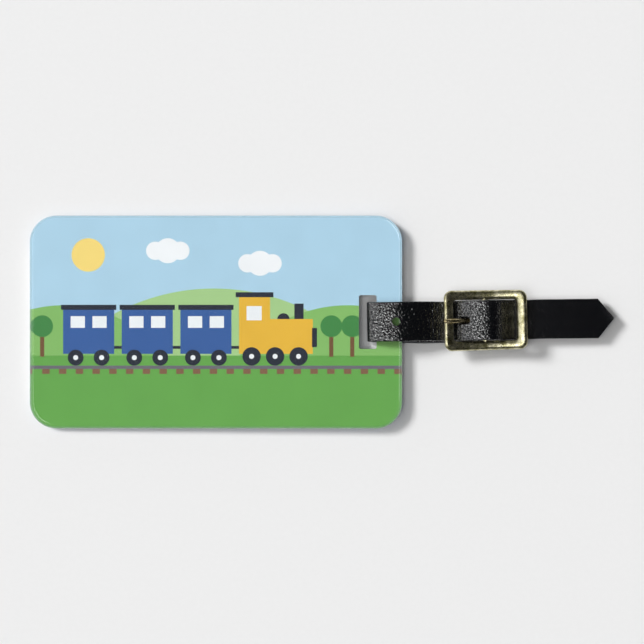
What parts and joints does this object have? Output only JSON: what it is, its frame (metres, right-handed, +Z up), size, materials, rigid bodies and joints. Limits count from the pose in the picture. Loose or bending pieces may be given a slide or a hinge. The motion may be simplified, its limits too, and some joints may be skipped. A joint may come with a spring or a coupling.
{
  "type": "luggage tag",
  "caption": "Rectangular luggage tag, a printed card under clear covers, with a slot that holds a flat leather strap closed by a metal pin buckle.",
  "frame": {"origin": "on the surface that the tag lies on, under the middle of its bounding box", "axes": "+X along the tag towards the strap's tip, +Y across the tag, +Z up out of the picture"},
  "size_m": [0.1394, 0.0508, 0.0076],
  "materials": {
    "clear_acrylic": "clear polished acrylic, edges rounded over",
    "picture_print": "colour print of a toy train on green hills, seen through the cover",
    "back_print": "pale print with blank ruled fields",
    "white_card": "plain white card",
    "black_leather": "black leather with a fine pebbled grain and a slight sheen",
    "rivet_brass": "plain brass",
    "buckle_brass": "antique brass, cast and polished, darker in the hollows",
    "prong_brass": "antique brass wire"
  },
  "bodies": {
    "tag": {"front_cover": "clear_acrylic", "front_print": "picture_print", "core_card": "white_card", "rear_print": "back_print", "rear_cover": "clear_acrylic"},
    "strap_loop": {"strap_bend": "black_leather"},
    "strap_end": {"strap_lower": "black_leather", "strap_upper": "black_leather", "rivet_post": "rivet_brass", "rivet_cap": "rivet_brass"},
    "buckle": {"buckle_frame": "buckle_brass"},
    "prong": {"buckle_prong": "prong_brass"},
    "tip": {"strap_tip": "black_leather"}
  },
  "joints": [
    {"name": "strap_swivel", "type": "hinge", "parent": "tag", "child": "strap_loop", "pos_m": [0.01146, 0.00001, 0.0027], "axis": [0, 0, 1], "range_deg": [-5, 5]},
    {"name": "strap_flex", "type": "hinge", "parent": "strap_loop", "child": "strap_end", "pos_m": [0.02096, 0.00016, 0.0027], "axis": [0.0157, -0.9999, 0], "range_deg": [-45, 45], "stiffness_Nm_per_rad": 0.03},
    {"name": "tip_flex", "type": "hinge", "parent": "strap_end", "child": "tip", "pos_m": [0.05056, 0.00062, 0.0031], "axis": [0.0157, -0.9999, 0], "range_deg": [-60, 60], "stiffness_Nm_per_rad": 0.01},
    {"name": "buckle_rock", "type": "hinge", "parent": "strap_end", "child": "buckle", "pos_m": [0.03906, 0.00044, 0.00405], "axis": [0.0244, -0.9997, 0], "range_deg": [-2, 2], "stiffness_Nm_per_rad": 0.003},
    {"name": "prong_lift", "type": "hinge", "parent": "buckle", "child": "prong", "pos_m": [0.03906, 0.00044, 0.00405], "axis": [-0.0244, 0.9997, 0], "range_deg": [0, 5]}
  ]
}
